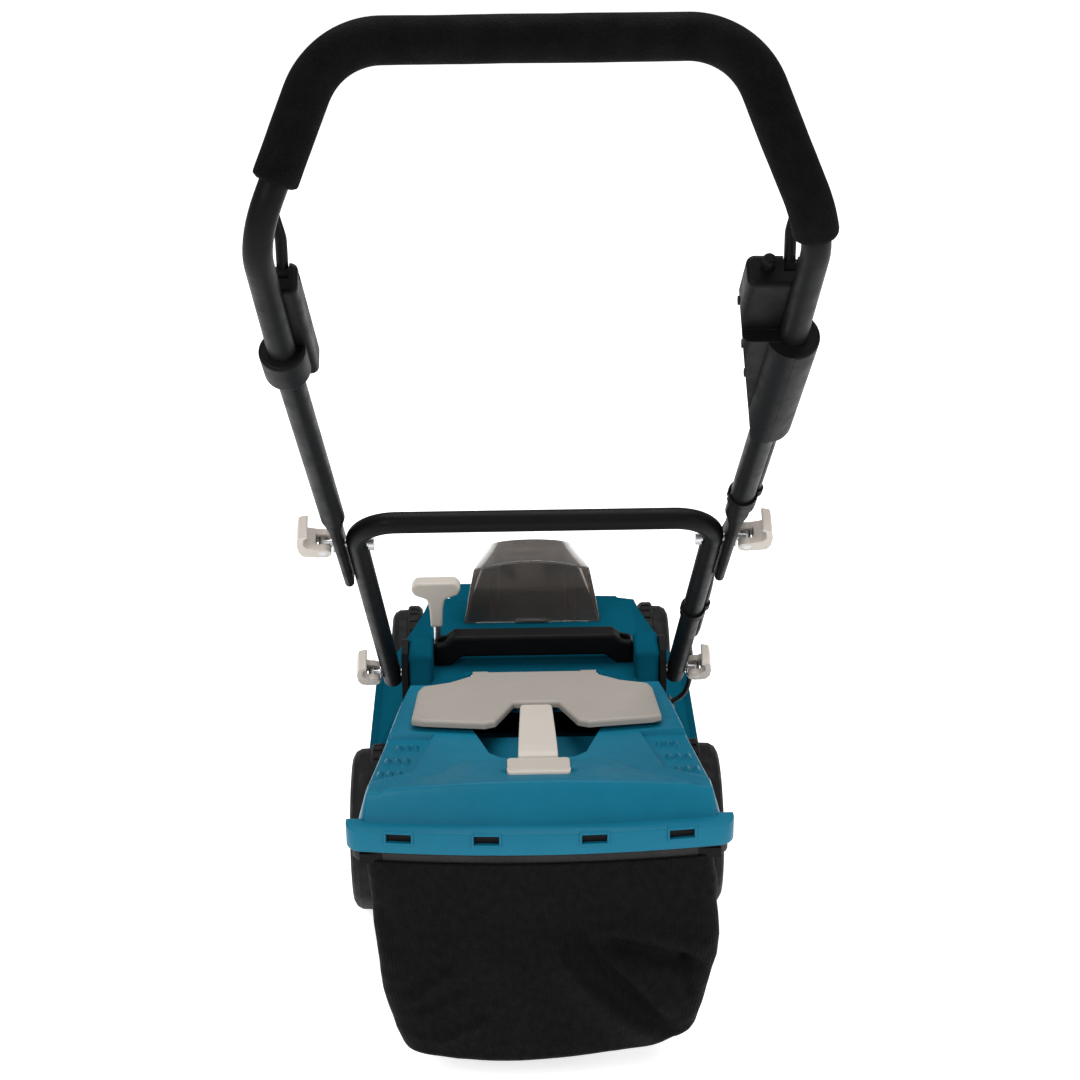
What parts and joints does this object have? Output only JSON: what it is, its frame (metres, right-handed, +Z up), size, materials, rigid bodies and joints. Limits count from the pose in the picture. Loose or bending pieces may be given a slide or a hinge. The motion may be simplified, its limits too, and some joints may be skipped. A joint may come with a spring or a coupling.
{
  "type": "lawn mower",
  "caption": "Walk-behind battery rotary lawn mower with folding U-handle, foam grip, switch bail, smoked battery cover, rear flap and lift-off grass box.",
  "frame": {"origin": "on the ground, under the middle of the rear axle, which is also the centre of the outline seen from above", "axes": "+X to the operator's right, +Y forward in the direction of mowing, +Z up"},
  "size_m": [0.438, 1.0199, 1.032],
  "materials": {
    "teal": "satin moulded",
    "beige": "satin moulded",
    "black_plastic": "fine texture",
    "smoked": "smoked clear",
    "tube_paint": "satin powder coat",
    "steel": "zinc plated",
    "blade_steel": "black coated, ground edges",
    "motor_alloy": "cast",
    "tyre": "matt",
    "foam": "closed cell foam",
    "rubber": "matt",
    "bag": "woven mesh",
    "red": "satin"
  },
  "bodies": {
    "deck": {"deck_shell": "teal", "upper_housing": "teal", "battery_tray": "black_plastic", "terminal_block": "black_plastic", "controller_box": "black_plastic", "motor_body": "motor_alloy", "carry_handle": "black_plastic", "housing_screws": "steel", "left_pivot_bracket": "black_plastic", "right_pivot_bracket": "black_plastic", "lower_pivot_bolts": "steel", "flap_rod": "steel", "flap_springs": "steel", "cable_pivot_loop": "rubber", "cable_grommet": "black_plastic", "height_quadrant": "steel"},
    "rear_axle": {"rear_axle_crank": "steel"},
    "front_axle": {"front_axle_crank": "steel"},
    "height_link": {"height_link_rod": "steel"},
    "height_lever": {"height_lever_rod": "steel", "height_lever_knob": "beige"},
    "rear_right_wheel": {"rear_right_tyre": "tyre", "rear_right_hub": "black_plastic"},
    "rear_left_wheel": {"rear_left_tyre": "tyre", "rear_left_hub": "black_plastic"},
    "front_right_wheel": {"front_right_tyre": "tyre", "front_right_hub": "black_plastic"},
    "front_left_wheel": {"front_left_tyre": "tyre", "front_left_hub": "black_plastic"},
    "cutter": {"blade_spindle": "motor_alloy", "blade": "blade_steel", "blade_bolt": "steel"},
    "lower_handle": {"lower_handle_tube": "tube_paint", "joint_bolts": "steel", "lower_cable": "rubber", "lower_cable_clip": "black_plastic", "cable_joint_loop": "rubber"},
    "upper_handle": {"upper_handle_tube": "tube_paint", "foam_grip": "foam", "left_lever_housing": "black_plastic", "switch_box_inner": "black_plastic", "switch_box_outer": "black_plastic", "switch_box_screws": "steel", "upper_cable": "rubber", "upper_cable_clip": "black_plastic"},
    "bail": {"switch_bail": "tube_paint"},
    "lock_button": {"lock_off_button": "black_plastic"},
    "lower_right_lever": {"lower_right_cam_lever": "beige"},
    "lower_left_lever": {"lower_left_cam_lever": "beige"},
    "upper_right_lever": {"upper_right_cam_lever": "beige"},
    "upper_left_lever": {"upper_left_cam_lever": "beige"},
    "cover": {"battery_cover": "smoked"},
    "battery": {"battery_pack": "black_plastic"},
    "key": {"isolation_key": "red"},
    "flap": {"rear_flap": "beige"},
    "grass_box": {"grass_box_lid": "teal", "grass_bag": "bag", "bag_frame": "black_plastic", "box_handle": "beige"},
    "indicator": {"fill_indicator": "beige"}
  },
  "joints": [
    {"name": "height_lever_swing", "type": "hinge", "parent": "deck", "child": "height_lever", "pos_m": [-0.101, 0.112, 0.186], "axis": [-1, 0, 0], "range_deg": [0, 30]},
    {"name": "rear_crank_swing", "type": "hinge", "parent": "deck", "child": "rear_axle", "pos_m": [0, 0.04443, 0.07709], "axis": [1, 0, 0], "range_deg": [0, 45]},
    {"name": "front_crank_swing", "type": "hinge", "parent": "deck", "child": "front_axle", "pos_m": [0, 0.45943, 0.05809], "axis": [1, 0, 0], "range_deg": [0, 45]},
    {"name": "height_link_swing", "type": "hinge", "parent": "rear_axle", "child": "height_link", "pos_m": [-0.107, 0.04443, 0.15709], "axis": [1, 0, 0], "range_deg": [-45, 0]},
    {"name": "rear_right_wheel_spin", "type": "hinge", "parent": "rear_axle", "child": "rear_right_wheel", "pos_m": [0.17, 0, 0.089], "axis": [1, 0, 0], "continuous": true},
    {"name": "rear_left_wheel_spin", "type": "hinge", "parent": "rear_axle", "child": "rear_left_wheel", "pos_m": [-0.17, 0, 0.089], "axis": [1, 0, 0], "continuous": true},
    {"name": "front_right_wheel_spin", "type": "hinge", "parent": "front_axle", "child": "front_right_wheel", "pos_m": [0.15, 0.415, 0.07], "axis": [1, 0, 0], "continuous": true},
    {"name": "front_left_wheel_spin", "type": "hinge", "parent": "front_axle", "child": "front_left_wheel", "pos_m": [-0.15, 0.415, 0.07], "axis": [1, 0, 0], "continuous": true},
    {"name": "blade_spin", "type": "hinge", "parent": "deck", "child": "cutter", "pos_m": [0, 0.217, 0.05], "axis": [0, 0, 1], "continuous": true},
    {"name": "lower_fold", "type": "hinge", "parent": "deck", "child": "lower_handle", "pos_m": [0, 0.065, 0.24], "axis": [1, 0, 0], "range_deg": [-118, 0], "deforming": ["cable_pivot_loop"]},
    {"name": "upper_fold", "type": "hinge", "parent": "lower_handle", "child": "upper_handle", "pos_m": [0, -0.14, 0.483], "axis": [-1, 0, 0], "range_deg": [0, 135], "deforming": ["cable_joint_loop"]},
    {"name": "bail_squeeze", "type": "hinge", "parent": "upper_handle", "child": "bail", "pos_m": [0, -0.43, 0.833], "axis": [1, 0, 0], "range_deg": [0, 11], "stiffness_Nm_per_rad": 2, "springref_deg": -17.19},
    {"name": "lock_button_press", "type": "slide", "parent": "upper_handle", "child": "lock_button", "axis": [-0.0422, 0.6783, -0.7336], "range_m": [0, 0.004], "stiffness_N_per_m": 800, "springref_m": -0.003},
    {"name": "lower_right_lever_turn", "type": "hinge", "parent": "deck", "child": "lower_right_lever", "pos_m": [0.1705, 0.065, 0.24], "axis": [0, 0.7643, 0.6448], "range_deg": [0, 90]},
    {"name": "lower_left_lever_turn", "type": "hinge", "parent": "deck", "child": "lower_left_lever", "pos_m": [-0.1705, 0.065, 0.24], "axis": [0, -0.7643, -0.6448], "range_deg": [0, 90]},
    {"name": "upper_right_lever_turn", "type": "hinge", "parent": "lower_handle", "child": "upper_right_lever", "pos_m": [0.1965, -0.14, 0.483], "axis": [0, 0.7643, 0.6448], "range_deg": [0, 90]},
    {"name": "upper_left_lever_turn", "type": "hinge", "parent": "lower_handle", "child": "upper_left_lever", "pos_m": [-0.1965, -0.14, 0.483], "axis": [0, -0.7643, -0.6448], "range_deg": [0, 90]},
    {"name": "battery_cover_lift", "type": "hinge", "parent": "deck", "child": "cover", "pos_m": [0, 0.346, 0.243], "axis": [-1, 0, 0], "range_deg": [0, 75]},
    {"name": "battery_lift", "type": "slide", "parent": "deck", "child": "battery", "axis": [0, 0, 1], "range_m": [0, 0.014]},
    {"name": "key_pull", "type": "slide", "parent": "deck", "child": "key", "axis": [0, 0, 1], "range_m": [0, 0.012]},
    {"name": "flap_lift", "type": "hinge", "parent": "deck", "child": "flap", "pos_m": [0, 0.029, 0.251], "axis": [-1, 0, 0], "range_deg": [0, 70], "stiffness_Nm_per_rad": 0.6, "springref_deg": -28.65},
    {"name": "grass_box_unhook", "type": "slide", "parent": "deck", "child": "grass_box", "axis": [0, -1, 0], "range_m": [0, 0.45]},
    {"name": "fill_indicator_lift", "type": "hinge", "parent": "grass_box", "child": "indicator", "pos_m": [0, -0.2455, 0.299], "axis": [1, 0, 0], "range_deg": [0, 55]}
  ],
  "couplings": [
    {"joint": "rear_crank_swing", "follows": "height_lever_swing", "ratio": 1.5},
    {"joint": "front_crank_swing", "follows": "height_lever_swing", "ratio": 1.5},
    {"joint": "height_link_swing", "follows": "height_lever_swing", "ratio": -1.5}
  ]
}
